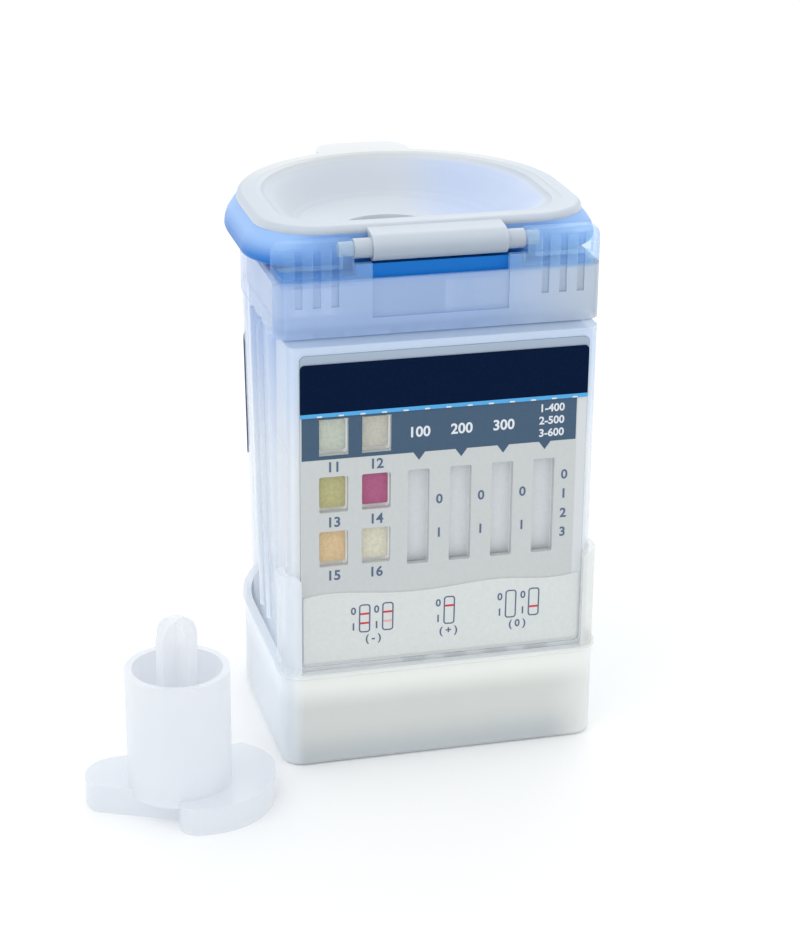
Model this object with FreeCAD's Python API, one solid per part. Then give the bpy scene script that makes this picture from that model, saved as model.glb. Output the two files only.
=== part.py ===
import FreeCAD, Part
import math
import os

from FreeCAD import Vector

# Urine test cup with a hinged lid, a front test cartridge and a separate plastic key.
# Millimetres. Z is up and the floor is z = 0. The front face looks along -Y. The origin is on the
# underside of the base, at the centre of the round back.

# Plan form: flat front, straight sides, half-round back
half_width = 32.8
front_reach = 36.0

# Cup body
cup_wall = 1.3
vessel_foot_inset = 2.2
vessel_top_inset = 0.4
vessel_corner = 4.0
cartridge_depth = 12.0
collar_setback = 4.5
collar_corner = 3.0
collar_height = 11.0
rim_height = 100.0
shoulder_thickness = 1.6
side_rib_radius = 0.9
side_rib_places = (-16.0, -9.0)
side_rib_gap = 3.5
panel_drop = 7.6
panel_depth = 0.5

# Hinge ears on the front of the collar, with heights above its rim
ear_inner = 17.3
ear_foot_rise = 1.2
ear_rise = 7.6
ear_depth = 4.2
ear_skin = 1.0
ear_cheek = 1.9
ear_corner_round = 2.2
slot_cheek_rise = 3.3
groove_depth = 0.6
groove_width = 1.5
groove_pitch = 3.6
groove_first_gap = 2.95
groove_count = 3
groove_drop = 5.0

# Hinge: its axis lies behind the front of the collar and below the top of the ears
hinge_back = 2.6
hinge_drop = 1.9
pin_radius = 1.45
pin_clearance = 0.05
pin_reach = 2.6
boss_radius = 1.95
boss_gap = 0.3
bar_radius = 2.6
bar_half = 13.4
bar_gap = 0.3

# Base
base_height = 20.5
base_wall = 1.3
base_floor = 1.3
base_corner = 4.5
base_front_gap = 0.15
base_edge_round = 1.1
base_bead = 0.5
base_bead_height = 1.3
nest_clearance = 0.3
post_rise = 20.8
post_side = 7.0
post_gap = 0.15
post_round = 1.0

# Socket for the key, at the back of the cup
socket_radius = 10.4
socket_wall = 1.2
socket_floor_gap = 0.3
socket_length = 43.0
socket_collar = 1.6
socket_collar_length = 2.0
socket_proud = 1.2
sample_port_radius = 2.5
feed_radius = 3.0
feed_wall = 1.0
feed_drop = 5.2

# Piston in the socket
piston_clearance = 0.1
piston_length = 8.0
piston_travel = 14.2
piston_wall = 1.6
seal_section = 1.6
seal_groove_depth = 1.2
seal_chamfer = 0.5

# Cartridge
cover_wall = 1.2
cover_frame = 2.2
cover_corner = 2.5
label_thickness = 0.25
card_foot_gap = 1.0
card_head_gap = 1.7
card_corner = 1.2
card_gap = 0.1
window_corner = 0.4

# Windows in the card, with heights above its foot. The columns are evenly spaced: on the left those
# for the reagent pads, with small windows, then those for the test strips, each with a long one.
column_left_margin = 6.65
column_right_margin = 8.5
pad_column_count = 2
strip_column_count = 4
strip_window_width = 4.4
strip_window_rise = 20.4
strip_window_length = 20.1
pad_window_rises = (25.2, 36.7, 48.7)
pad_window_width = 5.8
pad_window_length = 7.5

# Strip holder behind the card
holder_thickness = 3.4
holder_foot_gap = 2.0
holder_head_gap = 0.3
channel_depth = 1.6
channel_width = 5.4
window_lip = 0.8

# Test strips, each a backing card with its pads and membrane
strip_side_gap = 0.35
strip_foot_gap = 0.9
strip_length = 68.0
strip_backing = 0.35
membrane_thickness = 0.2
sample_pad_length = 17.0
sample_pad_thickness = 1.0
label_pad_length = 12.0
label_pad_thickness = 0.7
absorbent_length = 9.0
absorbent_thickness = 1.1

# Reagent strips with their square pads
reagent_side_gap = 0.15
reagent_length = 74.0
reagent_pad_length = 6.3
reagent_pad_thickness = 1.2

# Labels on the card, the lower one with a torn upper edge
top_label_gap = 1.8
top_label_height = 10.7
top_label_corner = 0.9
low_label_gap = 0.8
low_label_side_gap = 0.4
low_label_heights = (14.3, 14.8, 14.0, 13.7, 14.2, 14.6, 13.9, 14.5)

# Temperature strip on the left of the round wall
thermo_thickness = 0.25
thermo_foot = 52.5
thermo_length = 25.0
thermo_start_angle = 171.0
thermo_sweep = 10.0

# Lid
lid_rise = 3.5
lid_slab = 1.5
lid_overhang = 0.6
lid_corner = 12.5
lid_ear_gap = 1.7
lid_wall = 1.4
lid_edge_round = 1.2
web_reach = 1.4
web_drop = 0.3
web_back_angle = 20.0
tab_half = 10.0
tab_root = 6.0
tab_proud = 6.0
tab_corner = 5.4
tab_drop = 0.2

# Bowl in the lid: it runs from the lid's own outline to a round floor, which dips to the key's pocket
bowl_band = 3.6
bowl_corner = 9.0
bowl_depth = 9.2
bowl_floor_radius = 17.8
bowl_centre = 8.3
bowl_steps = 8
bowl_wall_out = 1.0
dip_radius = 9.4
dip_depth = 1.8
key_pocket_gap = 0.8
least_straight = 0.05

# Soft seal under the lid: a plug inside the collar and a bulged ring above its rim. The ring's
# profile gives its bulge, as a share of the full one, at shares of its height.
plug_gap = 0.5
plug_wall = 1.2
plug_depth = 1.5
plug_ledge = 1.0
plug_ear_gap = 0.7
bar_room = 0.4
slot_block_gap = 0.8
ring_foot_rise = 1.6
ring_bulge = 3.1
ring_front_bulge = 0.4
ring_profile = ((0.0, 0.76), (0.05, 0.92), (0.14, 1.0), (0.3, 0.97), (0.5, 0.84), (0.75, 0.53), (1.0, 0.1))
ring_corner = 12.0
neck_corner = 10.0
ring_room_drop = 2.3
ring_room_half_gap = 1.3

# Key, standing beside the cup
key_x = -55.6
key_y = -45.8
key_clearance = 0.2
key_height = 29.5
key_wall = 1.4
flange_height = 5.7
flange_wall = 1.5
flange_left = 17.6
flange_right = 18.9
flange_back = 11.0
flange_front = 13.9
flange_corner = 4.5
flange_shoulder = 6.75
flange_bow = 0.8
flange_front_rise = 2.4
flange_nose = 3.3
flange_cut_depth = 7.0
flange_cut_half = 1.8
flange_cut_share = 0.33
tongue_width = 9.0
tongue_thickness = 2.0
tongue_height = 40.0
tongue_turn = 33.0

# Places worked out from the sizes above, from front to back
front_y = -front_reach
collar_front = front_y + collar_setback
vessel_front = front_y + cartridge_depth
card_face = front_y + label_thickness
card_back = card_face + cover_wall + card_gap
base_front = card_face - base_front_gap - base_wall
channel_floor = card_back + channel_depth
holder_back = card_back + holder_thickness
cover_back = vessel_front - nest_clearance
hinge_y = collar_front + hinge_back
ear_back = collar_front + ear_depth
lid_front = ear_back + lid_ear_gap
bowl_front = lid_front + bowl_band

# From foot to head
vessel_foot = base_floor
shoulder_height = rim_height - collar_height
cover_head = shoulder_height - nest_clearance
card_foot = base_height + card_foot_gap
card_head = cover_head - card_head_gap
ear_foot = rim_height + ear_foot_rise
ear_height = rim_height + ear_rise
hinge_height = ear_height - hinge_drop
lid_height = hinge_height + lid_rise
slab_foot = lid_height - lid_slab
bowl_floor = lid_height - bowl_depth
plug_foot = rim_height - plug_depth
ring_foot = rim_height + ring_foot_rise
top_label_head = card_head - top_label_gap
top_label_foot = top_label_head - top_label_height
holder_foot = base_floor + holder_foot_gap
strip_foot = holder_foot + strip_foot_gap

# Widths
vessel_foot_half = half_width - vessel_foot_inset
vessel_top_half = half_width - vessel_top_inset
cover_half = half_width - base_wall - nest_clearance
card_half = cover_half - cover_frame
panel_half = bar_half + bar_gap
lid_half = half_width + lid_overhang
bowl_half = lid_half - bowl_band
column_pitch = (2 * card_half - column_left_margin - column_right_margin) / (
    pad_column_count + strip_column_count - 1)
columns = [-card_half + column_left_margin + n * column_pitch
           for n in range(pad_column_count + strip_column_count)]
pad_columns = columns[:pad_column_count]
strip_columns = columns[pad_column_count:]
strip_width = channel_width - 2 * strip_side_gap
reagent_width = channel_width - 2 * reagent_side_gap

# Socket, piston and key
socket_outer = socket_radius + socket_wall
socket_height = vessel_foot + socket_outer + socket_floor_gap
socket_mouth = half_width + socket_proud
socket_end = socket_mouth - socket_length
piston_front = socket_end + piston_travel
piston_back = piston_front + piston_length
key_radius = socket_radius - key_clearance
key_pocket_floor = lid_height - (tongue_height - flange_height) - key_pocket_gap


def outline(half, front, corner, z, centre=0):
    """A D: flat front at y = front, straight sides, half-round back about y = centre."""
    chord = corner * (1 - math.sqrt(0.5))
    left, right = -half, half
    edges = [
        Part.LineSegment(Vector(left + corner, front, z), Vector(right - corner, front, z)),
        Part.Arc(Vector(right - corner, front, z), Vector(right - chord, front + chord, z),
                 Vector(right, front + corner, z)),
        Part.LineSegment(Vector(right, front + corner, z), Vector(right, centre, z)),
        Part.Arc(Vector(right, centre, z), Vector(0, centre + half, z), Vector(left, centre, z)),
        Part.LineSegment(Vector(left, centre, z), Vector(left, front + corner, z)),
        Part.Arc(Vector(left, front + corner, z), Vector(left + chord, front + chord, z),
                 Vector(left + corner, front, z)),
    ]
    return Part.Wire([edge.toShape() for edge in edges])


def prism(half, front, corner, foot, head):
    """A solid with the D outline, from z = foot to z = head."""
    face = Part.Face(outline(half, front, corner, foot))
    return face.extrude(Vector(0, 0, head - foot))


def loft(sections):
    """A solid through D outlines, each given as half width, front, corner, height and centre."""
    return Part.makeLoft([outline(*section) for section in sections], True, True)


def box(x0, x1, y0, y1, z0, z1):
    return Part.makeBox(x1 - x0, y1 - y0, z1 - z0, Vector(x0, y0, z0))


def rod(radius, start, direction, length):
    return Part.makeCylinder(radius, length, start, direction)


def plate_in_front(x0, x1, z0, z1, corner, y0, y1):
    """A plate parallel to the front face, with round corners."""
    body = box(x0, x1, y0, y1, z0, z1)
    edges = [e for e in body.Edges if abs(e.tangentAt(e.FirstParameter).y) > 0.99]
    return body.makeFillet(corner, edges)


def vertical_edges(shape, low, high, inside=None):
    """Straight upright edges that reach from about z = low to z = high."""
    found = []
    for edge in shape.Edges:
        size = edge.BoundBox
        upright = size.XLength < 1e-6 and size.YLength < 1e-6
        if upright and size.ZMin > low - 0.1 and size.ZMax < high + 0.1:
            if inside is None or inside(edge.CenterOfMass):
                found.append(edge)
    return found


def mirror(shape):
    return shape.mirror(Vector(0, 0, 0), Vector(1, 0, 0))


def save(shape, node):
    if not shape.isValid():
        print("not valid:", node)
    if shape.ShapeType == "Compound" and len(shape.Solids) == 1:
        shape = shape.Solids[0]
    print(node, len(shape.Solids), "solid,", round(shape.Volume / 1000, 3), "cm3")
    shape.exportStep("parts/" + node + ".step")


# Cup body
def vessel_wall(inset, foot, head):
    """The tapered lower body, moved inward by inset."""
    sections = []
    for z in (foot, head):
        share = (z - vessel_foot) / (shoulder_height - vessel_foot)
        half = vessel_foot_half + (vessel_top_half - vessel_foot_half) * share
        sections.append((half - inset, vessel_front + inset, vessel_corner - inset, z))
    return loft(sections)


def socket_tube(radius, y0, y1):
    return rod(radius, Vector(0, y0, socket_height), Vector(0, 1, 0), y1 - y0)


def collar_room(foot, head):
    """The space inside the collar."""
    return prism(half_width - cup_wall, collar_front + cup_wall, collar_corner - cup_wall, foot, head)


def ear_shape():
    """The right-hand hinge ear: a hollow block on the collar's front wall, with a bore for the pin."""
    foot = rim_height - cup_wall
    reach = box(ear_inner, half_width, collar_front, ear_back, foot, ear_height)
    block = prism(half_width, collar_front, collar_corner, foot, ear_height).common(reach)
    outer_top = [e for e in block.Edges
                 if e.BoundBox.ZMin > ear_height - 0.1 and e.BoundBox.XMin > half_width - 0.1]
    block = block.makeFillet(ear_corner_round, outer_top)
    hollow = collar_room(ear_foot + ear_skin, ear_height - ear_skin)
    hollow = hollow.common(box(ear_inner + ear_cheek, half_width, collar_front, ear_back,
                               ear_foot, ear_height))
    ear = block.cut(collar_room(foot - 1, ear_foot)).cut(hollow)
    bore = rod(pin_radius + pin_clearance, Vector(ear_inner - 1, hinge_y, hinge_height),
               Vector(1, 0, 0), ear_cheek + 2)
    return ear.cut(bore)


def slot_cheek():
    """The raised end of the front wall between the right-hand ear and the slot under the hinge bar."""
    return box(panel_half, ear_inner, collar_front, collar_front + cup_wall, rim_height - cup_wall,
               rim_height + slot_cheek_rise)


def front_grooves():
    """Upright grooves down the front of both ears and of the collar below them."""
    grooves = []
    for number in range(groove_count):
        left = ear_inner + groove_first_gap + number * groove_pitch
        groove = box(left, left + groove_width, collar_front - 1, collar_front + groove_depth,
                     rim_height - groove_drop, ear_height + 1)
        grooves.extend([groove, mirror(groove)])
    return grooves


def side_ribs():
    """Two upright ribs on each side wall, following its taper."""
    lean = (vessel_top_half - vessel_foot_half) / (shoulder_height - vessel_foot)
    side_rib_foot = base_height + side_rib_gap
    foot_half = vessel_foot_half + lean * (side_rib_foot - vessel_foot)
    rise = shoulder_height - side_rib_foot
    ribs = []
    for place in side_rib_places:
        rib = rod(side_rib_radius, Vector(foot_half, place, side_rib_foot), Vector(lean, 0, 1), rise)
        ribs.extend([rib, mirror(rib)])
    return ribs


def make_cup_body():
    collar_foot = shoulder_height + shoulder_thickness
    vessel = vessel_wall(0, vessel_foot, collar_foot)
    collar = prism(half_width, collar_front, collar_corner, shoulder_height, rim_height)
    ear = ear_shape().fuse(slot_cheek())
    body = vessel.fuse([collar] + side_ribs())
    body = body.cut(vessel_wall(cup_wall, vessel_foot + cup_wall, collar_foot))
    body = body.cut(collar_room(collar_foot, rim_height + 1))
    body = body.fuse([ear, mirror(ear)])
    panel = box(-panel_half, panel_half, collar_front - 1, collar_front + panel_depth,
                rim_height - panel_drop, rim_height + 1)
    body = body.cut(front_grooves() + [panel])

    tube = socket_tube(socket_outer, socket_end - socket_wall, socket_mouth)
    flange = socket_tube(socket_outer + socket_collar, socket_mouth - socket_collar_length,
                         socket_mouth)
    flange = flange.common(box(-half_width, half_width, 0, socket_mouth, vessel_foot, rim_height))
    feed_length = socket_end - vessel_front
    feed_start = Vector(0, vessel_front, socket_height - feed_drop)
    back = Vector(0, 1, 0)
    feed = rod(feed_radius + feed_wall, feed_start, back, feed_length)
    body = body.fuse([tube, flange, feed])
    port = rod(sample_port_radius, Vector(0, socket_end + 2 * sample_port_radius, socket_height),
               Vector(0, 0, 1), socket_outer + 1)
    bore = socket_tube(socket_radius, socket_end, socket_mouth + 1)
    feed_bore = rod(feed_radius, feed_start - back, back, feed_length + 2)
    return body.cut([bore, feed_bore, port]).removeSplitter()


# Base
def corner_posts(room):
    """Two posts on the rim that hold the cartridge at its front corners."""
    posts = []
    head = base_height + post_rise
    wall = prism(half_width, base_front, base_corner, base_height - base_bead_height, head).cut(room)
    reach = box(card_half + post_gap, half_width + 1, base_front - 1, base_front + post_side,
                base_height - base_bead_height, head)
    post = wall.common(reach)
    inner_top = [e for e in post.Edges
                 if e.BoundBox.ZMin > head - 0.01 and e.BoundBox.XMax < card_half + post_gap + 0.01]
    post = post.makeFillet(post_round, inner_top)
    posts.extend([post, mirror(post)])
    return posts


def make_base():
    outer = prism(half_width, base_front, base_corner, 0, base_height)
    foot_edges = [e for e in outer.Edges if e.BoundBox.ZMax < 0.01]
    outer = outer.makeFillet(base_edge_round, foot_edges)
    bead = loft([
        (half_width, base_front, base_corner, base_height - base_bead_height),
        (half_width + base_bead, base_front - base_bead, base_corner + base_bead,
         base_height - base_bead_height + base_bead),
        (half_width + base_bead, base_front - base_bead, base_corner + base_bead, base_height),
    ])
    room = prism(half_width - base_wall, base_front + base_wall, base_corner - base_wall,
                 base_floor, base_height + post_rise + 1)
    base = outer.fuse([bead] + corner_posts(room)).cut(room)
    reach = socket_outer + socket_collar + nest_clearance
    back = half_width - base_corner
    notch = socket_tube(reach, back, half_width + 1)
    notch = notch.fuse(box(-reach, reach, back, half_width + 1, socket_height, base_height + 1))
    notch = notch.common(box(-reach, reach, back, half_width + 1, base_floor, base_height + 1))
    return base.cut(notch).removeSplitter()


# Cartridge
def make_cover():
    outer = box(-cover_half, cover_half, card_face, cover_back, base_floor, cover_head)
    corners = vertical_edges(outer, base_floor, cover_head, lambda p: p.y < card_face + 0.1)
    outer = outer.makeFillet(cover_corner, corners)
    room = box(-cover_half + cover_wall, cover_half - cover_wall, card_face + cover_wall,
               cover_back + 1, base_floor + cover_wall, cover_head - cover_wall)
    window = plate_in_front(-card_half - card_gap, card_half + card_gap, card_foot - card_gap,
                            card_head + card_gap, card_corner, card_face - 1, card_face + cover_wall + 1)
    return outer.cut(room).cut(window)


def window_places():
    """Middle x, foot z, width and length of each window in the card."""
    places = []
    for x in strip_columns:
        places.append((x, card_foot + strip_window_rise, strip_window_width, strip_window_length))
    for x in pad_columns:
        for rise in pad_window_rises:
            places.append((x, card_foot + rise - pad_window_length / 2, pad_window_width,
                           pad_window_length))
    return places


def make_card():
    card = plate_in_front(-card_half, card_half, card_foot, card_head, card_corner, card_face, card_back)
    for x, foot, width, length in window_places():
        hole = plate_in_front(x - width / 2, x + width / 2, foot, foot + length, window_corner,
                              card_face - 1, card_back + 1)
        card = card.cut(hole)
    return card


def make_holder():
    head = cover_head - cover_wall - holder_head_gap
    half = cover_half - cover_wall - card_gap
    holder = box(-half, half, card_back, holder_back, holder_foot, head)
    for x in columns:
        holder = holder.cut(box(x - channel_width / 2, x + channel_width / 2, card_back - 1,
                                channel_floor, holder_foot - 1, head - window_lip))
    return holder


def make_test_strip(x):
    """One strip seen from the side: backing card, sample pad, label pad, membrane, absorbent pad."""
    back = channel_floor
    front = back - strip_backing
    head = strip_foot + strip_length
    pad_end = strip_foot + sample_pad_length
    label_end = pad_end + label_pad_length
    absorbent_foot = head - absorbent_length
    profile = [
        (back, strip_foot),
        (front - sample_pad_thickness, strip_foot),
        (front - sample_pad_thickness, pad_end),
        (front - label_pad_thickness, pad_end),
        (front - label_pad_thickness, label_end),
        (front - membrane_thickness, label_end),
        (front - membrane_thickness, absorbent_foot),
        (front - absorbent_thickness, absorbent_foot),
        (front - absorbent_thickness, head),
        (back, head),
        (back, strip_foot),
    ]
    wire = Part.makePolygon([Vector(x - strip_width / 2, y, z) for y, z in profile])
    return Part.Face(wire).extrude(Vector(strip_width, 0, 0))


def make_reagent_strip(x):
    return box(x - reagent_width / 2, x + reagent_width / 2, channel_floor - strip_backing,
               channel_floor, strip_foot, strip_foot + reagent_length)


def make_reagent_pad(x, z):
    front = channel_floor - strip_backing - reagent_pad_thickness
    return plate_in_front(x - reagent_width / 2, x + reagent_width / 2, z - reagent_pad_length / 2,
                          z + reagent_pad_length / 2, window_corner, front, channel_floor - strip_backing)


# Labels
def make_top_label():
    return plate_in_front(-card_half, card_half, top_label_foot, top_label_head,
                          top_label_corner, front_y, card_face)


def make_low_label():
    """The lower label, with the torn upper edge."""
    steps = len(low_label_heights) - 1
    half = card_half - low_label_side_gap
    foot = card_foot + low_label_gap
    torn = [Vector(-half + 2 * half * n / steps, front_y, foot + height)
            for n, height in enumerate(low_label_heights)]
    curve = Part.BSplineCurve()
    curve.interpolate(torn)
    left_foot = Vector(-half, front_y, foot)
    right_foot = Vector(half, front_y, foot)
    edges = [
        curve.toShape(),
        Part.makeLine(torn[-1], right_foot),
        Part.makeLine(right_foot, left_foot),
        Part.makeLine(left_foot, torn[0]),
    ]
    return Part.Face(Part.Wire(edges)).extrude(Vector(0, label_thickness, 0))


def make_thermo():
    """The temperature strip: a curved patch on the tapered wall."""
    head = thermo_foot + thermo_length
    shell = vessel_wall(-thermo_thickness, thermo_foot, head).cut(vessel_wall(0, thermo_foot, head))
    middle = math.radians(thermo_start_angle - thermo_sweep / 2)
    reach = 2 * half_width
    first = math.radians(thermo_start_angle)
    last = math.radians(thermo_start_angle - thermo_sweep)
    corners = [Vector(0, 0, thermo_foot)]
    for angle in (first, middle, last):
        corners.append(Vector(reach * math.cos(angle), reach * math.sin(angle), thermo_foot))
    corners.append(corners[0])
    wedge = Part.Face(Part.makePolygon(corners)).extrude(Vector(0, 0, thermo_length))
    return shell.common(wedge)


# Lid
def bowl(outward, down):
    """The bowl's form, moved outward and down: a soft wall from the lid's outline to the round floor."""
    sections = []
    for step in range(bowl_steps + 1):
        share = step / bowl_steps
        half = bowl_half + (bowl_floor_radius - bowl_half) * share
        front = bowl_front + (bowl_centre - bowl_floor_radius - bowl_front) * share
        corner = bowl_corner + (bowl_floor_radius - least_straight - bowl_corner) * share
        depth = bowl_depth * (1 - math.cos(math.pi * share)) / 2
        sections.append((half + outward, front - outward, corner + outward, lid_height - depth - down,
                         bowl_centre * share))
    dip = dip_radius + outward
    sections.append((dip, bowl_centre - dip, dip - least_straight, bowl_floor - dip_depth - down,
                     bowl_centre))
    return loft(sections)


def hinge_web():
    """The wall between the slab's front edge and the hinge bar, level with the top of both."""
    away = Vector(0, lid_front + web_reach - hinge_y, lid_rise - web_drop)
    turn = math.atan2(away.z, away.y) + math.acos(bar_radius / away.Length)
    back = math.radians(web_back_angle)
    points = [
        (0, 0),
        (bar_radius * math.cos(turn), bar_radius * math.sin(turn)),
        (away.y, away.z),
        (away.y, lid_rise - lid_slab),
        (lid_front - hinge_y - web_drop, lid_rise - lid_slab),
        (bar_radius * math.cos(back), bar_radius * math.sin(back)),
        (0, 0),
    ]
    wire = Part.makePolygon([Vector(-bar_half, hinge_y + y, hinge_height + z) for y, z in points])
    return Part.Face(wire).extrude(Vector(2 * bar_half, 0, 0))


def make_lid():
    slab = prism(lid_half, lid_front, lid_corner, slab_foot, lid_height)
    top_edges = [e for e in slab.Edges if e.BoundBox.ZMin > lid_height - 0.01]
    slab = slab.makeFillet(lid_edge_round, top_edges)
    tab = box(-tab_half, tab_half, lid_half - tab_root, lid_half + tab_proud, slab_foot,
              lid_height - tab_drop)
    tab_corners = vertical_edges(tab, slab_foot, lid_height, lambda p: p.y > lid_half)
    tab = tab.makeFillet(tab_corner, tab_corners)
    mouth = prism(bowl_half, bowl_front, bowl_corner, lid_height - least_straight, lid_height + 1)
    lid = slab.fuse([tab, bowl(bowl_wall_out, lid_wall)])

    up = Vector(0, 0, 1)
    floor_middle = Vector(0, bowl_centre, key_pocket_floor)
    pocket_height = bowl_floor - key_pocket_floor
    pocket_outer = rod(socket_radius + socket_wall, floor_middle - up * lid_wall, up,
                       pocket_height - dip_depth)
    pocket = rod(socket_radius, floor_middle, up, pocket_height)
    lid = lid.fuse(pocket_outer).cut([bowl(0, 0), mouth, pocket])

    axis_start = Vector(0, hinge_y, hinge_height)
    right = Vector(1, 0, 0)
    bar = rod(bar_radius, axis_start - right * bar_half, right, 2 * bar_half)
    boss_half = ear_inner - boss_gap
    boss = rod(boss_radius, axis_start - right * boss_half, right, 2 * boss_half)
    pin_half = ear_inner + pin_reach
    pin = rod(pin_radius, axis_start - right * pin_half, right, 2 * pin_half)
    return lid.fuse([bar, boss, pin, hinge_web()]).removeSplitter()


def seal_ring():
    """The bulged ring between the collar's rim and the lid."""
    sections = []
    for rise, bulge in ring_profile:
        height = ring_foot + (slab_foot - ring_foot) * rise
        sections.append((half_width + ring_bulge * bulge, lid_front - ring_front_bulge * bulge,
                         ring_corner, height))
    return loft(sections)


def make_seal():
    """Soft ring under the lid, with its plug inside the collar."""
    plug_half = half_width - cup_wall - plug_gap
    plug_front = collar_front + cup_wall + plug_gap
    plug_corner = collar_corner - cup_wall - plug_gap
    room_half = plug_half - plug_wall
    room_front = lid_front + plug_wall
    ledge_head = ear_foot - plug_ear_gap

    plug = prism(plug_half, plug_front, plug_corner, plug_foot, ledge_head)
    plug = plug.cut(prism(room_half, plug_front + plug_wall, plug_corner, plug_foot - 1,
                          ledge_head - plug_ledge))
    neck = prism(plug_half, lid_front, neck_corner, ledge_head - plug_ledge, slab_foot - ring_room_drop)
    room = prism(room_half, room_front, neck_corner, plug_foot - 1, slab_foot + 1)
    ring_room = prism(half_width - ring_room_half_gap, room_front, neck_corner,
                      slab_foot - ring_room_drop, slab_foot + 1)
    seal = plug.fuse([neck, seal_ring()]).cut([room, ring_room])
    block_half = ear_inner - slot_block_gap
    block = box(-block_half, block_half, plug_front, room_front, plug_foot,
                hinge_height - bar_radius - bar_room)
    return seal.fuse(block).removeSplitter()


# Piston
def make_piston():
    radius = socket_radius - piston_clearance
    piston = socket_tube(radius, piston_front, piston_back)
    hollow = socket_tube(radius - piston_wall, piston_front + piston_wall, piston_back + 1)
    middle = (piston_front + piston_back) / 2
    groove = socket_tube(radius + 1, middle - seal_section / 2, middle + seal_section / 2)
    groove = groove.cut(socket_tube(radius - seal_groove_depth, piston_front, piston_back))
    return piston.cut(hollow).cut(groove)


def make_piston_seal():
    """A ring with chamfered corners in the piston's groove."""
    middle = (piston_front + piston_back) / 2
    start, end = middle - seal_section / 2, middle + seal_section / 2
    outer = socket_radius - piston_clearance / 2
    inner = socket_radius - piston_clearance - seal_groove_depth
    section = [
        Vector(inner, start, 0),
        Vector(outer - seal_chamfer, start, 0),
        Vector(outer, start + seal_chamfer, 0),
        Vector(outer, end - seal_chamfer, 0),
        Vector(outer - seal_chamfer, end, 0),
        Vector(inner, end, 0),
        Vector(inner, start, 0),
    ]
    ring = Part.Face(Part.makePolygon(section)).revolve(Vector(0, 0, 0), Vector(0, 1, 0), 360)
    ring.translate(Vector(0, 0, socket_height))
    return ring


# Key
def flange_face():
    """The key's handle: a flat-backed oval with one straight cut at the front left."""
    left_low = Vector(-flange_left + flange_bow, 0, 0)
    left_middle = Vector(-flange_left, flange_back - flange_corner, 0)
    left_high = Vector(-flange_left + flange_shoulder, flange_back, 0)
    right_high = Vector(flange_right - flange_corner, flange_back, 0)
    right_middle = Vector(flange_right, flange_corner, 0)
    right_low = Vector(flange_right - flange_bow, -flange_nose, 0)
    front_middle = Vector(flange_right - flange_shoulder, -flange_front + flange_front_rise, 0)
    front_low = Vector(flange_cut_half, -flange_front, 0)
    corner_middle = Vector(-flange_cut_half * flange_cut_share, -flange_front + flange_bow, 0)
    step_low = Vector(-flange_cut_half, -flange_front + flange_nose, 0)
    step_high = Vector(-flange_cut_half, -flange_front + flange_cut_depth, 0)
    edges = [
        Part.Arc(left_low, left_middle, left_high),
        Part.LineSegment(left_high, right_high),
        Part.Arc(right_high, right_middle, right_low),
        Part.Arc(right_low, front_middle, front_low),
        Part.Arc(front_low, corner_middle, step_low),
        Part.LineSegment(step_low, step_high),
        Part.LineSegment(step_high, left_low),
    ]
    return Part.Face(Part.Wire([edge.toShape() for edge in edges]))


def tongue(width, head):
    """One upright blade with a round top, in the XZ plane."""
    radius = width / 2
    front = -tongue_thickness / 2
    blade = box(-radius, radius, front, front + tongue_thickness, flange_height - 1, head - radius)
    top = rod(radius, Vector(0, front, head - radius), Vector(0, 1, 0), tongue_thickness)
    return blade.fuse(top)


def make_key():
    up = Vector(0, 0, 1)
    face = flange_face()
    flange = face.extrude(Vector(0, 0, flange_height))
    underside = face.makeOffset2D(-flange_wall)
    flange = flange.cut(underside.extrude(Vector(0, 0, flange_height - flange_wall)))
    tube = rod(key_radius, Vector(0, 0, flange_height - flange_wall), up,
               key_height - flange_height + flange_wall)
    tube = tube.cut(rod(key_radius - key_wall, Vector(0, 0, flange_height), up, key_height))
    blade = tongue(tongue_width, tongue_height)
    cross = tongue(tongue_width, tongue_height)
    cross.rotate(Vector(0, 0, 0), up, 90)
    blades = blade.fuse(cross)
    blades.rotate(Vector(0, 0, 0), up, tongue_turn)
    key = flange.fuse([tube, blades]).removeSplitter()
    key.translate(Vector(key_x, key_y, 0))
    return key


os.makedirs("parts", exist_ok=True)

save(make_cup_body(), "cup_body")
save(make_base(), "base_tray")
save(make_cover(), "cartridge_cover")
save(make_card(), "test_card")
save(make_holder(), "strip_holder")
for number, x in enumerate(strip_columns, 1):
    save(make_test_strip(x), "test_strip_" + str(number))
for side, x in zip(("left", "right"), pad_columns):
    save(make_reagent_strip(x), "reagent_strip_" + side)
    for place, rise in zip(("low", "middle", "high"), pad_window_rises):
        save(make_reagent_pad(x, card_foot + rise), "reagent_pad_" + side + "_" + place)
save(make_top_label(), "upper_label")
save(make_low_label(), "lower_label")
save(make_thermo(), "temperature_strip")
save(make_lid(), "lid")
save(make_seal(), "lid_seal")
save(make_piston(), "piston")
save(make_piston_seal(), "piston_seal")
save(make_key(), "key")
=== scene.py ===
import math

import bpy
from mathutils import Matrix, Vector


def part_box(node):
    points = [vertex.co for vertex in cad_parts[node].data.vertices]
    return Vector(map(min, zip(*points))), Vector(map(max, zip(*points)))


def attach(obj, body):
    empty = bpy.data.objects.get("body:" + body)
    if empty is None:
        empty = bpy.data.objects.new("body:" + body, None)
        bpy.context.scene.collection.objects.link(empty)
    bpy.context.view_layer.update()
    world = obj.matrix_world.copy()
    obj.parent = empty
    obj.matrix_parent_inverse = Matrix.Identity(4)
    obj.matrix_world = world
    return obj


# Urine test cup with a hinged lid: finishes, print and light round the fixed model.
# Blender works in metres with Z up. Lengths below are in millimetres, or times MM where they are metres.

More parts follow.
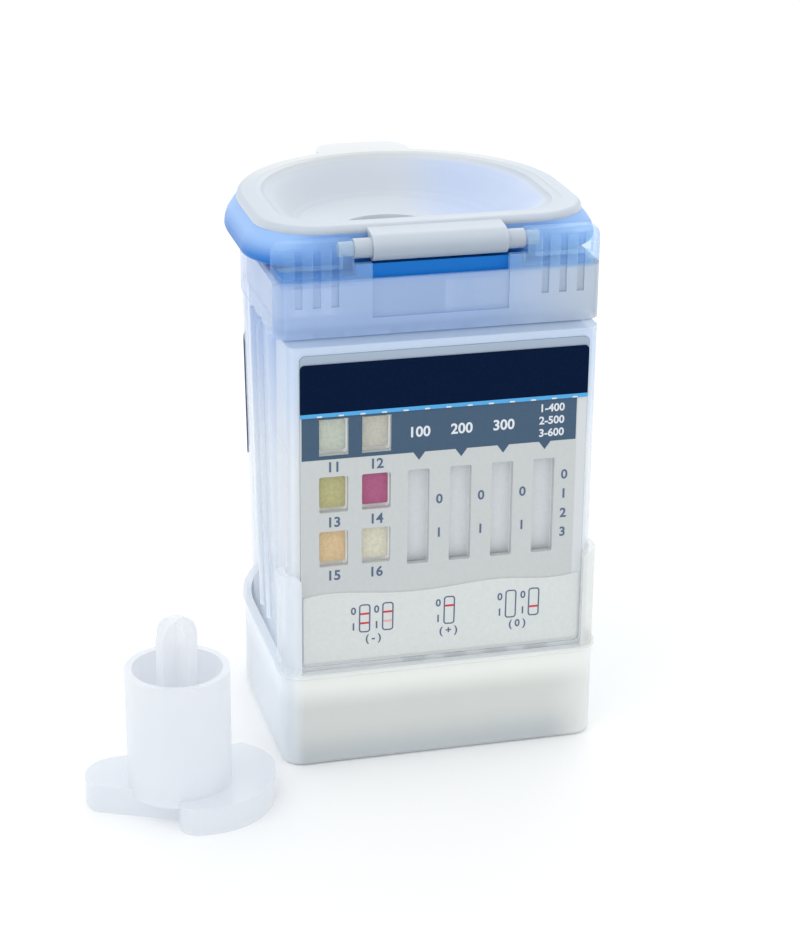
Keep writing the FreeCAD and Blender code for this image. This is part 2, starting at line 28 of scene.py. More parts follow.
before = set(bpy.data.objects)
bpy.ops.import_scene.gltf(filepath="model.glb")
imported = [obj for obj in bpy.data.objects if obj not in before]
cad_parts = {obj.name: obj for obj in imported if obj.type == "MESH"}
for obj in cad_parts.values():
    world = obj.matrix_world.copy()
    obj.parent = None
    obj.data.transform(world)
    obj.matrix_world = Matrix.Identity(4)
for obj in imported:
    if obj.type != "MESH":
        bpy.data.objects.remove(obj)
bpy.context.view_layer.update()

MM = 0.001
INK = 0.03 * MM

# Camera: its place in millimetres, its three turns in degrees and its focal length in pixels
CAMERA_PLACE = (-122.009, -467.161, 238.395)
CAMERA_DOWN = 21.653
CAMERA_TURN = 14.674
CAMERA_ROLL = 0.561
FOCAL_PIXELS = 2451.45
IMAGE_WIDTH = 800
SENSOR_WIDTH = 36.0

# Print on the card and the labels: sizes, heights above the floor and places across the front
WORD_HEIGHT = 2.05
MARK_HEIGHT = 1.9
CAPTION_HEIGHT = 2.0
ROW_HEIGHT = 1.55
CAPITAL_SHARE = 0.69
WEIGHT = 0.035
CURVE_STEPS = 4
BAND_LEFT, BAND_RIGHT = -28.7, 26.9
BAND_FOOT, BAND_HEAD = 65.65, 74.4
BAND_WINDOW_HALF = (2.9, 3.75)
POINTER_TIP = 64.0
POINTER_HALF = 1.2
BAND_WORDS = ("100", "200", "300")
BAND_WORD_RISE = 69.8
BAND_ROWS = (("1-400", 72.6), ("2-500", 70.0), ("3-600", 67.4))
BAND_ROW_SHIFT = 1.3
STRIPE_FOOT, STRIPE_MIDDLE, STRIPE_HEAD = 74.5, 74.8, 75.3
NICK_PITCH = 4.3
NICK_WIDTH = 1.0
CAPTIONS = (("11", "12", 63.9), ("13", "14", 52.3), ("15", "16", 40.9))
MARK_SHIFT = 4.25
MARK_RISES = (("0", 55.3), ("1", 48.1))
SCALE_SHIFT = 4.3
SCALE_RISES = (("0", 58.2), ("1", 54.1), ("2", 49.9), ("3", 45.8))
LEGEND_BOXES = (-16.1, -11.35, 1.4, 14.3, 19.15)
LEGEND_FOOT, LEGEND_HEAD = 28.0, 34.2
LEGEND_HALF = 1.2
LEGEND_CORNER = 0.75
LEGEND_CORNER_STEPS = 4
LEGEND_LINE = 0.28
LEGEND_BAR = 0.42
LEGEND_BAR_RISES = (32.1, 30.07)
LEGEND_MARK_SHIFT = 2.3
LEGEND_MARK_RISE = 0.7
LEGEND_MARK_HEIGHT = 1.5
LEGEND_CAPTIONS = (("( - )", -14.3), ("( + )", 1.3), ("( 0 )", 15.8))
LEGEND_CAPTION_RISE = 26.6

# Colours, as linear light
CARD_WHITE = (0.565, 0.59, 0.585)
# Painted shade on the card under the collar, above the navy label
CARD_HEAD_PAINTED_SHADE = (0.36, 0.44, 0.54)
CARD_EDGE = (0.64, 0.67, 0.68)
CARD_FOOT = (0.62, 0.645, 0.635)
PRINT_WHITE = (0.74, 0.78, 0.82)
LID_BAND = (0.54, 0.595, 0.655)
# Painted light on the lid: lighter towards its back and in its bowl
LID_PAINTED_BACKLIGHT = (0.68, 0.70, 0.70)
LID_BOWL_PAINTED_LIGHT = (0.70, 0.74, 0.785)
# Painted shade on the underside of the hinge's bar
LID_BAR_PAINTED_SHADE = (0.36, 0.42, 0.49)
# Painted blue light where the seal shines through the bowl's right-hand wall
LID_PAINTED_SEAL_GLOW = (0.60, 0.69, 0.88)
SEAL_DEEP = (0.0, 0.16, 0.56)
# Painted light on the seal's upper bulge, where it faces the light above
SEAL_PAINTED_LIGHT = (0.32, 0.52, 0.88)
BAND_BLUE = (0.046, 0.096, 0.163)
INK_BLUE = (0.09, 0.14, 0.23)
LABEL_NAVY = (0.0015, 0.010, 0.040)
STRIPE_BLUE = (0.075, 0.39, 0.76)
LEGEND_RED = (0.62, 0.035, 0.05)
LEGEND_PINK = (0.80, 0.42, 0.42)
LIT_WHITE = (1, 1, 1)
FLOOR_WHITE = (0.985, 0.985, 0.985)

# Shades: the dark parts of ink, card and label as a share of their colour, and both shades of a pad
INK_SHADE = 0.93
CARD_SHADE = 0.97
LABEL_SHADE = 0.8
PAD_SHADES = (0.79, 0.90)

# Colour and cover of the milky plastics, at a low and a high place
CUP_LOW = ((0.76, 0.82, 0.90), 0.42)
# The cup turns bluer towards its top: painted blue light from the seal
CUP_HIGH_PAINTED_SEAL_LIGHT = ((0.41, 0.56, 0.83), 0.50)
# The base is darker towards its foot: painted shade along its bottom edge
BASE_LOW_PAINTED_SHADE = ((0.51, 0.55, 0.57), 0.80)
BASE_HIGH = ((0.69, 0.715, 0.685), 0.78)
COVER_LOW = ((0.80, 0.84, 0.88), 0.45)
# The cover turns bluer towards its top: painted blue light from the seal and painted shade under the
# collar
COVER_HIGH_PAINTED_SEAL_LIGHT = ((0.62, 0.74, 0.90), 0.6)
KEY_LOW = ((0.66, 0.69, 0.73), 0.70)
KEY_HIGH = ((0.68, 0.70, 0.73), 0.6)

# Where their cover changes: an axis, two places along it and the change between them
CUP_STEPS = (
    ("Z", 99.5 * MM, 100.5 * MM, -0.36),
    ("Y", -31.15 * MM, -31.3 * MM, 0.08),
    ("X", 5 * MM, 30 * MM, 0.18),
    ("X", 31.5 * MM, 33 * MM, 0.25),
)
BASE_STEPS = (
    ("Z", 12 * MM, 18 * MM, 0.18),
    ("Z", 19 * MM, 22 * MM, -0.43),
    ("X", -30 * MM, -32 * MM, -0.25),
)

# Where their colour changes: an axis, two places along it and the colour past the second
CUP_TINTS = (
    ("X", 5 * MM, 32 * MM, (0.52, 0.60, 0.70)),
    # Painted blue light from the seal, in the ears in front of it
    ("Z", 99.5 * MM, 100.5 * MM, (0.38, 0.64, 0.94)),
)
BASE_TINTS = (
    ("Z", 12 * MM, 18 * MM, (0.81, 0.83, 0.79)),
    ("Z", 19 * MM, 22 * MM, (0.82, 0.87, 0.92)),
    ("X", 22 * MM, 32 * MM, (0.81, 0.83, 0.80)),
    ("Y", -34 * MM, -8 * MM, (0.81, 0.86, 0.92)),
    ("X", -28 * MM, -33 * MM, (0.90, 0.95, 1.0)),
)

# Upright streaks in the cup's wall, and the painted glow that stands in for the light the plastics carry
STREAKS_PER_METRE = 260.0
STREAK_STRETCH = 0.012
STREAK_COVER = 0.16
STREAK_SPREAD = (0.35, 0.65)
STREAK_FOOT = (26 * MM, 34 * MM)
STREAK_HEAD = (91 * MM, 88 * MM)
PAINTED_THROUGH_GLOW = 0.18
PAINTED_GLOW = 0.05
KEY_PAINTED_GLOW = 0.25
FOOT_PAINTED_GLOW = 0.26
FOOT_RISE = (40 * MM, 22 * MM)
FOOT_AHEAD = (-2 * MM, -10 * MM)

# Where the lid, its seal and the card change colour: two places along an axis, or a length from an edge
LID_SUNK = (108.8 * MM, 107.2 * MM)
LID_BEHIND_BAR = (-21 * MM, -16 * MM)
LID_RIGHT = (4 * MM, 18 * MM)
LID_BACK = (5 * MM, 28 * MM)
BAR_UNDERSIDE = (108.0 * MM, 105.0 * MM)
BAR_FRONT = (-23.5 * MM, -25.5 * MM)
SEAL_BULGE = (101.8 * MM, 106.5 * MM)
SEAL_BEHIND_SLOT = (-29 * MM, -24 * MM)
CARD_EDGE_FADE = 0.4 * MM
CARD_LABEL_FADE = 1 * MM

# Grain and fibres: features per metre, depth, and the part of the noise that goes from dark to light
GRAIN_SCALE = 900.0
GRAIN_DEPTH = 0.1 * MM
FLOW_SCALE = 60.0
FLOW_DEPTH = 0.3 * MM
FIBRE_DEPTH = 0.15 * MM
FIBRE_SPREAD = (0.3, 0.7)

# Light and floor, in metres: the room's level from the sides and from above, and the lamps in watts
SIDE_LIGHT = (0.90, 0.93, 0.98)
TOP_LIGHT = (1.06, 1.07, 1.08)
ROOM_RISE = (-0.2, 0.9)
LIGHT_TARGET = (0, 0, 0.05)
KEY_LIGHT = {"place": (-0.45, -0.25, 0.7), "size": 0.6, "power": 0.5}
BACK_LIGHT = {"place": (0.25, 0.6, 0.5), "size": 0.5, "power": 0.6}
FLOOR_HALF = 3.0
SEE_THROUGH_WALLS = 32


def mm(*values):
    return Vector(values) * MM


def near(colour, share):
    return tuple(channel * share for channel in colour)


# Materials
def new_material(name):
    material = bpy.data.materials.new(name)
    material.use_nodes = True
    nodes = material.node_tree.nodes
    return material, nodes, material.node_tree.links, nodes["Principled BSDF"]


def add_noise(nodes, links, scale, detail, stretch=1.0):
    """Noise fixed to the object: scale is its features per metre, and along Z they are times stretch."""
    where = nodes.new("ShaderNodeTexCoord")
    mapping = nodes.new("ShaderNodeMapping")
    mapping.inputs["Scale"].default_value = (1, 1, stretch)
    links.new(where.outputs["Object"], mapping.inputs["Vector"])
    noise = nodes.new("ShaderNodeTexNoise")
    noise.inputs["Scale"].default_value = scale
    noise.inputs["Detail"].default_value = detail
    links.new(mapping.outputs["Vector"], noise.inputs["Vector"])
    return noise.outputs["Fac"]


def add_bump(nodes, links, shader, height, strength, distance):
    bump = nodes.new("ShaderNodeBump")
    bump.inputs["Strength"].default_value = strength
    bump.inputs["Distance"].default_value = distance
    links.new(height, bump.inputs["Height"])
    links.new(bump.outputs["Normal"], shader.inputs["Normal"])


def add_grain(nodes, links, shader, strength):
    add_bump(nodes, links, shader, add_noise(nodes, links, GRAIN_SCALE, 3.0), strength, GRAIN_DEPTH)


def carry_light(shader, share, depth):
    """Lets light spread inside the plastic, a little further in blue."""
    shader.inputs["Subsurface Weight"].default_value = share
    shader.inputs["Subsurface Radius"].default_value = (1.0, 1.0, 1.2)
    shader.inputs["Subsurface Scale"].default_value = depth


def mix_colours(nodes, links, factor, dark, light):
    mix = nodes.new("ShaderNodeMix")
    mix.data_type = "RGBA"
    mix.inputs["A"].default_value = (*dark, 1)
    mix.inputs["B"].default_value = (*light, 1)
    links.new(factor, mix.inputs["Factor"])
    return mix.outputs["Result"]


def tint(nodes, links, colour, share, paint):
    """The colour, turned into the paint where the share is 1."""
    mix = nodes.new("ShaderNodeMix")
    mix.data_type = "RGBA"
    mix.inputs["B"].default_value = (*paint, 1)
    links.new(colour, mix.inputs["A"])
    links.new(share, mix.inputs["Factor"])
    return mix.outputs["Result"]


def ramp(nodes, links, value, low, high):
    """0 up to the low value and 1 past the high one, with soft ends."""
    span = nodes.new("ShaderNodeMapRange")
    span.interpolation_type = "SMOOTHSTEP"
    span.inputs["From Min"].default_value = low
    span.inputs["From Max"].default_value = high
    links.new(value, span.inputs["Value"])
    return span.outputs["Result"]


def between(nodes, links, share, low, high):
    """The low value where the share is 0, and the high one where it is 1."""
    span = nodes.new("ShaderNodeMapRange")
    span.inputs["To Min"].default_value = low
    span.inputs["To Max"].default_value = high
    links.new(share, span.inputs["Value"])
    return span.outputs["Result"]


def along(nodes, links, axis, low, high):
    """0 up to the first place on an axis and 1 past the second, in metres."""
    where = nodes.new("ShaderNodeTexCoord")
    parts = nodes.new("ShaderNodeSeparateXYZ")
    links.new(where.outputs["Object"], parts.inputs["Vector"])
    return ramp(nodes, links, parts.outputs[axis], low, high)


def times(nodes, links, first, second):
    product = nodes.new("ShaderNodeMath")
    product.operation = "MULTIPLY"
    links.new(first, product.inputs[0])
    links.new(second, product.inputs[1])
    return product.outputs["Value"]


def step_by(nodes, links, value, share, amount):
    """The value, changed by the amount where the share is 1."""
    change = nodes.new("ShaderNodeMath")
    change.operation = "MULTIPLY_ADD"
    change.inputs[1].default_value = amount
    links.new(share, change.inputs[0])
    links.new(value, change.inputs[2])
    return change.outputs["Value"]


def streaks(nodes, links):
    """0 to 1 across upright streaks, as clear ribs and walls bend the light, in the bare wall alone."""
    noise = add_noise(nodes, links, STREAKS_PER_METRE, 1.0, STREAK_STRETCH)
    above = along(nodes, links, "Z", *STREAK_FOOT)
    below = along(nodes, links, "Z", *STREAK_HEAD)
    wall = times(nodes, links, above, below)
    return times(nodes, links, ramp(nodes, links, noise, *STREAK_SPREAD), wall)


def milky_plastic(name, low, high, foot, head, roughness, steps=(), tints=(), streaked=0.0, glow_strength=PAINTED_GLOW):
    """Milky clear plastic. Low and high are its colour and cover at two heights, foot and head.
    Steps change the cover and tints the colour. Streaked is how much the cover changes from one
    upright streak to the next, and the last argument is a painted glow for the light the plastic carries."""
    material, nodes, links, shader = new_material(name)
    rise = along(nodes, links, "Z", foot, head)
    colour = mix_colours(nodes, links, rise, low[0], high[0])
    for axis, start, end, paint in tints:
        colour = tint(nodes, links, colour, along(nodes, links, axis, start, end), paint)
    links.new(colour, shader.inputs["Base Color"])
    # A painted glow in the plastic's own colour
    links.new(colour, shader.inputs["Emission Color"])
    shader.inputs["Emission Strength"].default_value = glow_strength
    cover = between(nodes, links, rise, low[1], high[1])
    for axis, start, end, amount in steps:
        cover = step_by(nodes, links, cover, along(nodes, links, axis, start, end), amount)
    if streaked:
        cover = step_by(nodes, links, cover, streaks(nodes, links), streaked)
    links.new(cover, shader.inputs["Alpha"])
    shader.inputs["Roughness"].default_value = roughness
    shader.inputs["IOR"].default_value = 1.49
    shader.inputs["Coat Weight"].default_value = 0.4
    shader.inputs["Coat Roughness"].default_value = 0.1
    add_bump(nodes, links, shader, add_noise(nodes, links, FLOW_SCALE, 1.0), 0.02, FLOW_DEPTH)
    return material


def solid_plastic(name, dark, light, roughness, scatter):
    """Opaque or slightly light-carrying moulded plastic with a fine grain."""
    material, nodes, links, shader = new_material(name)
    patches = add_noise(nodes, links, FLOW_SCALE, 2.0)
    links.new(mix_colours(nodes, links, patches, dark, light), shader.inputs["Base Color"])
    shader.inputs["Roughness"].default_value = roughness
    carry_light(shader, scatter, 3 * MM)
    add_grain(nodes, links, shader, 0.06)
    return material


def paper(name, dark, light, fibre_scale, roughness, strength, gloss=0.4):
    """Matt paper, pad or membrane with fibres, which the strength raises."""
    material, nodes, links, shader = new_material(name)
    fibres = add_noise(nodes, links, fibre_scale, 5.0)
    spread = ramp(nodes, links, fibres, *FIBRE_SPREAD)
    links.new(mix_colours(nodes, links, spread, dark, light), shader.inputs["Base Color"])
    shader.inputs["Roughness"].default_value = roughness
    shader.inputs["Specular IOR Level"].default_value = gloss
    add_bump(nodes, links, shader, fibres, strength, FIBRE_DEPTH)
    return material


def print_ink(name, colour):
    return paper(name, near(colour, INK_SHADE), colour, fibre_scale=2500.0, roughness=0.55, strength=0.05)


def lid_plastic():
    """White plastic that carries light, with painted light towards the back and in the bowl, painted
    blue light where the seal shines through its right-hand wall, and painted shade under the hinge's bar."""
    material, nodes, links, shader = new_material("lid_white")
    back = along(nodes, links, "Y", *LID_BACK)
    sunk = along(nodes, links, "Z", *LID_SUNK)
    bowl = times(nodes, links, sunk, along(nodes, links, "Y", *LID_BEHIND_BAR))
    glow = times(nodes, links, bowl, along(nodes, links, "X", *LID_RIGHT))
    underside = along(nodes, links, "Z", *BAR_UNDERSIDE)
    bar = times(nodes, links, underside, along(nodes, links, "Y", *BAR_FRONT))
    colour = mix_colours(nodes, links, back, LID_BAND, LID_PAINTED_BACKLIGHT)
    for share, paint in ((bowl, LID_BOWL_PAINTED_LIGHT), (glow, LID_PAINTED_SEAL_GLOW), (bar, LID_BAR_PAINTED_SHADE)):
        colour = tint(nodes, links, colour, share, paint)
    links.new(colour, shader.inputs["Base Color"])
    shader.inputs["Roughness"].default_value = 0.38
    carry_light(shader, 0.3, 2 * MM)
    add_grain(nodes, links, shader, 0.05)
    return material


def seal_plastic():
    """Soft blue plastic, deep in the lid's slot, with painted light on the upper part of its bulge under
    the lid.
    """
    material, nodes, links, shader = new_material("seal_blue")
    bulge = along(nodes, links, "Z", *SEAL_BULGE)
    painted_top = times(nodes, links, bulge, along(nodes, links, "Y", *SEAL_BEHIND_SLOT))
    links.new(mix_colours(nodes, links, painted_top, SEAL_DEEP, SEAL_PAINTED_LIGHT), shader.inputs["Base Color"])
    shader.inputs["Roughness"].default_value = 0.35
    shader.inputs["Specular IOR Level"].default_value = 0.2
    add_grain(nodes, links, shader, 0.05)
    return material


def card_paper():
    """The card's white paper: a painted blue-grey shade above the navy label, under the collar, and paler
    at its right-hand edge and below the white label."""
    material = paper("card_white", near(CARD_WHITE, CARD_SHADE), CARD_WHITE, fibre_scale=1200.0,
                     roughness=0.5, strength=0.05)
    nodes, links = material.node_tree.nodes, material.node_tree.links
    socket = nodes["Principled BSDF"].inputs["Base Color"]
    colour = socket.links[0].from_socket
    edge = BAND_RIGHT * MM
    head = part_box("upper_label")[1][2]
    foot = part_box("lower_label")[0][2]
    for axis, start, end, paint in (("X", edge, edge + CARD_EDGE_FADE, CARD_EDGE),
                                    ("Z", head - CARD_LABEL_FADE, head, CARD_HEAD_PAINTED_SHADE),
                                    ("Z", foot + CARD_LABEL_FADE, foot, CARD_FOOT)):
        colour = tint(nodes, links, colour, along(nodes, links, axis, start, end), paint)
    links.new(colour, socket)
    return material


def paint_through_glow(material):
    """A painted glow on thin white plastic, for the room's light that comes through it from behind."""
    shader = material.node_tree.nodes["Principled BSDF"]
    shader.inputs["Emission Color"].default_value = (*LIT_WHITE, 1)
    shader.inputs["Emission Strength"].default_value = PAINTED_THROUGH_GLOW
    return material


def paint_foot_glow(material):
    """Paints a stronger glow low down in front, lifting the shade where the base's wall stands close to
    it.
    """
    nodes, links = material.node_tree.nodes, material.node_tree.links
    low = along(nodes, links, "Z", *FOOT_RISE)
    ahead = along(nodes, links, "Y", *FOOT_AHEAD)
    glow = between(nodes, links, times(nodes, links, low, ahead), PAINTED_GLOW, FOOT_PAINTED_GLOW)
    links.new(glow, nodes["Principled BSDF"].inputs["Emission Strength"])
    return material


def dress(node, material):
    """Gives a node of the fixed model its material."""
    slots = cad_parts[node].data.materials
    slots.clear()
    slots.append(material)


# Finishes of the fixed model's nodes
FINISHES = {
    "cup_body": paint_foot_glow(milky_plastic("cup_clear", CUP_LOW, CUP_HIGH_PAINTED_SEAL_LIGHT, foot=55 * MM, head=93 * MM,
                                       roughness=0.25, steps=CUP_STEPS, tints=CUP_TINTS,
                                       streaked=STREAK_COVER)),
    "base_tray": milky_plastic("base_clear", BASE_LOW_PAINTED_SHADE, BASE_HIGH, foot=0.0, head=9 * MM, roughness=0.28,
                               steps=BASE_STEPS, tints=BASE_TINTS),
    "cartridge_cover": milky_plastic("cover_clear", COVER_LOW, COVER_HIGH_PAINTED_SEAL_LIGHT, foot=62 * MM, head=84 * MM,
                                     roughness=0.25),
    "test_card": card_paper(),
    "strip_holder": paint_through_glow(solid_plastic("holder_white", (0.76, 0.79, 0.80), (0.80, 0.83, 0.84),
                                              roughness=0.5, scatter=0.3)),
    "upper_label": paper("label_navy", near(LABEL_NAVY, LABEL_SHADE), LABEL_NAVY, fibre_scale=1800.0,
                         roughness=0.8, strength=0.05, gloss=0.05),
    "lower_label": paper("label_white", (0.65, 0.675, 0.665), (0.68, 0.705, 0.69), fibre_scale=1000.0,
                         roughness=0.6, strength=0.03),
    "temperature_strip": paper("strip_dark", (0.03, 0.06, 0.14), (0.05, 0.09, 0.20), fibre_scale=1500.0,
                               roughness=0.4, strength=0.1),
    "lid": lid_plastic(),
    "lid_seal": seal_plastic(),
    "piston": solid_plastic("piston_white", (0.74, 0.75, 0.76), (0.80, 0.80, 0.80), roughness=0.45,
                            scatter=0.2),
    "piston_seal": solid_plastic("seal_black", (0.02, 0.02, 0.02), (0.03, 0.03, 0.03), roughness=0.5,
                                 scatter=0.0),
    "key": milky_plastic("key_white", KEY_LOW, KEY_HIGH, foot=0.0, head=40 * MM, roughness=0.35,
                         glow_strength=KEY_PAINTED_GLOW),
}
STRIP_PAPER = paper("strip_membrane", (0.70, 0.73, 0.74), (0.73, 0.76, 0.77), fibre_scale=1600.0,
                    roughness=0.85, strength=0.2)
BACKING = paint_through_glow(paper("reagent_backing", (0.70, 0.70, 0.68), (0.74, 0.74, 0.72),
                            fibre_scale=1200.0, roughness=0.5, strength=0.05))
PAD_COLOURS = {
    "reagent_pad_left_low": (0.80, 0.60, 0.35),
    "reagent_pad_left_middle": (0.56, 0.53, 0.27),
    "reagent_pad_left_high": (0.62, 0.67, 0.58),
    "reagent_pad_right_low": (0.80, 0.77, 0.62),
    "reagent_pad_right_middle": (0.50, 0.14, 0.27),
    "reagent_pad_right_high": (0.63, 0.62, 0.54),
}
STRIP_NUMBERS = (1, 2, 3, 4)
SIDES = ("left", "right")

for node, material in FINISHES.items():
    dress(node, material)
for node, colour in PAD_COLOURS.items():
    dark, light = (near(colour, share) for share in PAD_SHADES)
    dress(node, paper(node + "_pad", dark, light, fibre_scale=1400.0, roughness=0.9, strength=0.4))
for number in STRIP_NUMBERS:
    dress("test_strip_" + str(number), STRIP_PAPER)
for side in SIDES:
    dress("reagent_strip_" + side, BACKING)


# Print
def add_piece(name, data, place=(0, 0, 0), turn=(0, 0, 0)):
    piece = bpy.data.objects.new(name, data)
    bpy.context.scene.collection.objects.link(piece)
    piece.location = place
    piece.rotation_euler = turn
    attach(piece, "cup")


def add_plates(name, shapes, face, material):
    """Thin flat shapes of ink on a face that looks along -Y. Each is a list of x, z points in mm."""
    points = []
    faces = []
    for shape in shapes:
        first = len(points)
        count = len(shape)
        points.extend(mm(x, face, z) - Vector((0, INK, 0)) for x, z in shape)
        points.extend(mm(x, face, z) for x, z in shape)
        faces.append([first + n for n in range(count)])
        faces.append([first + count + n for n in reversed(range(count))])
        for n in range(count):
            after = (n + 1) % count
            faces.append([first + after, first + n, first + count + n, first + count + after])
    mesh = bpy.data.meshes.new(name)
    mesh.from_pydata(points, [], faces)
    mesh.materials.append(material)
    add_piece(name, mesh)


def add_words(name, words, x, z, height, face, material):
    """Plain numbers, upright on a face that looks along -Y, centred on x and z."""
    curve = bpy.data.curves.new(name, "FONT")
    curve.body = words
    curve.align_x = "CENTER"
    curve.align_y = "CENTER"
    curve.size = height / CAPITAL_SHARE * MM
    curve.offset = WEIGHT * height * MM
    curve.extrude = INK / 2
    curve.resolution_u = CURVE_STEPS
    curve.materials.append(material)
    add_piece(name, curve, mm(x, face, z) - Vector((0, INK / 2, 0)), (math.pi / 2, 0, 0))


def rectangle(left, right, foot, head):
    return [(left, foot), (right, foot), (right, head), (left, head)]


def middle_of(node):
    low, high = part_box(node)
    return (low + high) / 2 / MM


def front_of(node):
    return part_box(node)[0][1] / MM


def print_band(face, pads, rise, columns):
    """The grey-blue band, open at the windows of the upper pads, with a pointer above each strip."""
    half_width, half_height = BAND_WINDOW_HALF
    shapes = []
    left = BAND_LEFT
    for x in pads:
        shapes.append(rectangle(left, x - half_width, BAND_FOOT, BAND_HEAD))
        shapes.append(rectangle(x - half_width, x + half_width, BAND_FOOT, rise - half_height))
        shapes.append(rectangle(x - half_width, x + half_width, rise + half_height, BAND_HEAD))
        left = x + half_width
    shapes.append(rectangle(left, BAND_RIGHT, BAND_FOOT, BAND_HEAD))
    for x in columns:
        shapes.append([(x, POINTER_TIP), (x + POINTER_HALF, BAND_FOOT), (x - POINTER_HALF, BAND_FOOT)])
    add_plates("print_band", shapes, face, print_ink("ink_band", BAND_BLUE))


def print_card():
    """The band with white numbers, the numbers under the pads and the marks beside the strips."""
    face = front_of("test_card")
    ink = print_ink("ink_blue", INK_BLUE)
    white = print_ink("ink_white", PRINT_WHITE)
    columns = [middle_of("test_strip_" + str(number))[0] for number in STRIP_NUMBERS]
    pads = [middle_of("reagent_pad_" + side + "_high")[0] for side in SIDES]
    print_band(face, pads, middle_of("reagent_pad_left_high")[2], columns)

    over_band = face - INK / MM
    for words, x in zip(BAND_WORDS, columns):
        add_words("word_" + words, words, x, BAND_WORD_RISE, WORD_HEIGHT, over_band, white)
    for words, z in BAND_ROWS:
        x = columns[-1] + BAND_ROW_SHIFT
        add_words("row_" + words, words, x, z, ROW_HEIGHT, over_band, white)
    for *pair, z in CAPTIONS:
        for words, x in zip(pair, pads):
            add_words("caption_" + words, words, x, z, CAPTION_HEIGHT, face, ink)
    for number, x in enumerate(columns[:-1], 1):
        for words, z in MARK_RISES:
            name = "mark_" + str(number) + "_" + words
            add_words(name, words, x + MARK_SHIFT, z, MARK_HEIGHT, face, ink)
    for words, z in SCALE_RISES:
        add_words("scale_" + words, words, columns[-1] + SCALE_SHIFT, z, MARK_HEIGHT, face, ink)


def print_stripe():
    """The light blue lower edge of the navy label, nicked where it was torn from its sheet."""
    low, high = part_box("upper_label")
    left, right, face = low[0] / MM, high[0] / MM, low[1] / MM
    count = int((right - left) / NICK_PITCH)
    shapes = [rectangle(left, right, STRIPE_MIDDLE, STRIPE_HEAD)]
    nicks = []
    for number in range(count + 1):
        start = left + number * NICK_PITCH
        end = min(start + NICK_PITCH - NICK_WIDTH, right)
        shapes.append(rectangle(start, end, STRIPE_FOOT, STRIPE_MIDDLE))
        if number:
            nicks.append(rectangle(start - NICK_WIDTH, start, STRIPE_FOOT, STRIPE_MIDDLE))
    add_plates("print_stripe", shapes, face, print_ink("ink_stripe", STRIPE_BLUE))
    add_plates("print_nicks", nicks, face, print_ink("ink_nick", PRINT_WHITE))


def legend_outline(x):
    """The rounded outline of a legend box, as a ring of four-sided shapes."""
    outer = []
    inner = []
    for step in range(4 * LEGEND_CORNER_STEPS):
        quarter = step // LEGEND_CORNER_STEPS
        turn = math.radians(step * 90 / LEGEND_CORNER_STEPS)
        side = 1 if quarter in (0, 3) else -1
        centre_x = x + side * (LEGEND_HALF - LEGEND_CORNER)
        centre_z = LEGEND_HEAD - LEGEND_CORNER if quarter in (0, 1) else LEGEND_FOOT + LEGEND_CORNER
        for points, radius in ((outer, LEGEND_CORNER), (inner, LEGEND_CORNER - LEGEND_LINE)):
            points.append((centre_x + radius * math.cos(turn), centre_z + radius * math.sin(turn)))
    count = len(outer)
    return [[outer[n], outer[(n + 1) % count], inner[(n + 1) % count], inner[n]] for n in range(count)]


def legend_bar(x, z):
    inside = LEGEND_HALF - LEGEND_LINE
    return rectangle(x - inside, x + inside, z - LEGEND_BAR / 2, z + LEGEND_BAR / 2)


def print_legend():
    """Five outlined boxes with coloured lines on the lower label, marked with plain numbers."""
    face = front_of("lower_label")
    ink = print_ink("ink_legend", INK_BLUE)
    outlines = [shape for x in LEGEND_BOXES for shape in legend_outline(x)]
    add_plates("legend_boxes", outlines, face, ink)

    upper, lower = LEGEND_BAR_RISES
    first, second, third, _, fifth = LEGEND_BOXES
    red = ((first, upper), (first, lower), (second, upper), (third, upper), (fifth, lower))
    add_plates("legend_red", [legend_bar(x, z) for x, z in red], face, print_ink("ink_red", LEGEND_RED))
    add_plates("legend_pink", [legend_bar(second, lower)], face, print_ink("ink_pink", LEGEND_PINK))
    for number, x in enumerate(LEGEND_BOXES, 1):
        for words, z in (("0", upper + LEGEND_MARK_RISE), ("1", lower - LEGEND_MARK_RISE)):
            name = "legend_" + str(number) + "_" + words
            add_words(name, words, x - LEGEND_MARK_SHIFT, z, LEGEND_MARK_HEIGHT, face, ink)
    for number, (words, x) in enumerate(LEGEND_CAPTIONS, 1):
        name = "legend_caption_" + str(number)
        add_words(name, words, x, LEGEND_CAPTION_RISE, LEGEND_MARK_HEIGHT, face, ink)


# Floor
def make_floor():
    half = FLOOR_HALF
    mesh = bpy.data.meshes.new("floor")
    corners = [(-half, -half, 0), (half, -half, 0), (half, half, 0), (-half, half, 0)]
    mesh.from_pydata(corners, [], [(0, 1, 2, 3)])
    floor = bpy.data.objects.new("floor", mesh)
    bpy.context.scene.collection.objects.link(floor)
    material, *_, shader = new_material("floor_white")
    shader.inputs["Base Color"].default_value = (*FLOOR_WHITE, 1)
    shader.inputs["Roughness"].default_value = 0.6
    mesh.materials.append(material)


# Light
def add_area_light(name, place, size, power):
    light = bpy.data.lights.new(name, "AREA")
    light.shape = "DISK"
    light.size = size
    light.energy = power
    lamp = bpy.data.objects.new(name, light)
    lamp.location = place
    lamp.rotation_euler = (Vector(LIGHT_TARGET) - Vector(place)).to_track_quat("-Z", "Y").to_euler()
    bpy.context.scene.collection.objects.link(lamp)


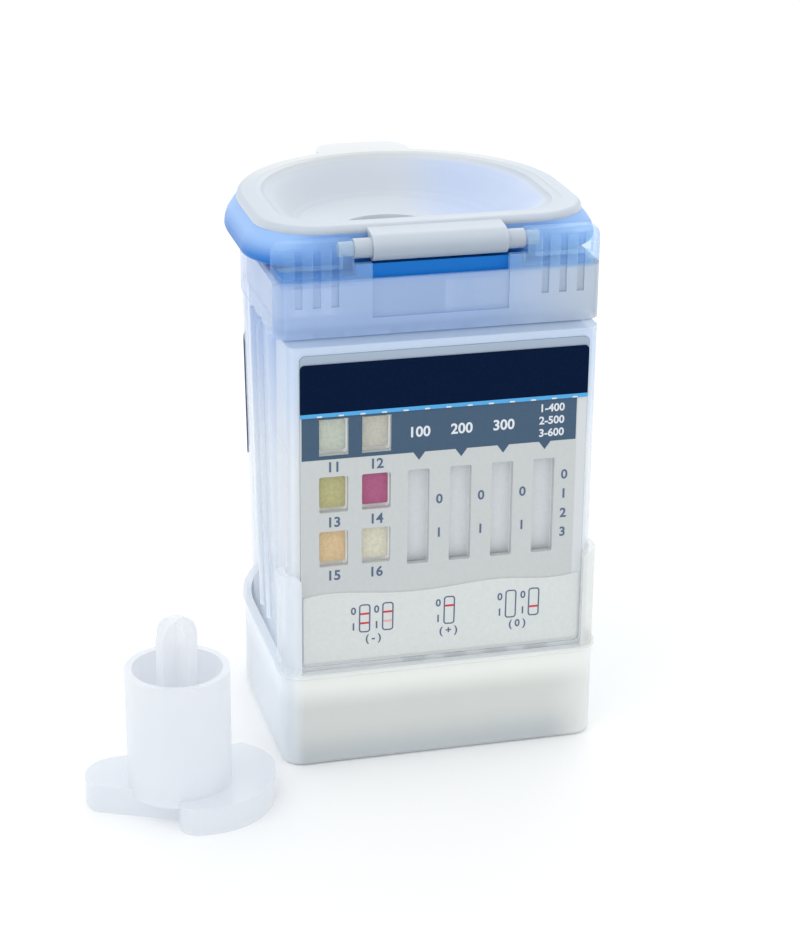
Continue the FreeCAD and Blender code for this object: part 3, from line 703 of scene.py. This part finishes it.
def make_room():
    """A white room: seen as plain white, and brighter from above than from the sides."""
    world = bpy.data.worlds.new("studio")
    bpy.context.scene.world = world
    world.use_nodes = True
    nodes, links = world.node_tree.nodes, world.node_tree.links
    where = nodes.new("ShaderNodeTexCoord")
    parts = nodes.new("ShaderNodeSeparateXYZ")
    links.new(where.outputs["Generated"], parts.inputs["Vector"])
    rise = ramp(nodes, links, parts.outputs["Z"], *ROOM_RISE)
    room = mix_colours(nodes, links, rise, SIDE_LIGHT, TOP_LIGHT)
    path = nodes.new("ShaderNodeLightPath")
    seen = tint(nodes, links, room, path.outputs["Is Camera Ray"], LIT_WHITE)
    links.new(seen, nodes["Background"].inputs["Color"])
    nodes["Background"].inputs["Strength"].default_value = 1.0


def make_light():
    make_room()
    add_area_light("key_light", **KEY_LIGHT)
    add_area_light("back_light", **BACK_LIGHT)
    scene = bpy.context.scene
    scene.view_settings.view_transform = "Standard"
    scene.view_settings.look = "None"
    scene.cycles.transparent_max_bounces = SEE_THROUGH_WALLS


# Camera
def make_camera():
    turn = math.radians(CAMERA_TURN)
    down = math.radians(CAMERA_DOWN)
    roll = math.radians(CAMERA_ROLL)
    level = Vector((math.sin(turn), math.cos(turn), 0))
    up = Vector((0, 0, 1))
    right = Vector((math.cos(turn), -math.sin(turn), 0))
    ahead = level * math.cos(down) - up * math.sin(down)
    over = level * math.sin(down) + up * math.cos(down)
    image_right = right * math.cos(roll) + over * math.sin(roll)
    image_up = over * math.cos(roll) - right * math.sin(roll)
    data = bpy.data.cameras.new("camera")
    data.sensor_fit = "HORIZONTAL"
    data.sensor_width = SENSOR_WIDTH
    data.lens = FOCAL_PIXELS * SENSOR_WIDTH / IMAGE_WIDTH
    camera = bpy.data.objects.new("camera", data)
    axes = Matrix((image_right, image_up, -ahead)).transposed()
    camera.matrix_world = Matrix.Translation(mm(*CAMERA_PLACE)) @ axes.to_4x4()
    bpy.context.scene.collection.objects.link(camera)
    bpy.context.scene.camera = camera


print_card()
print_stripe()
print_legend()
make_floor()
make_light()
make_camera()
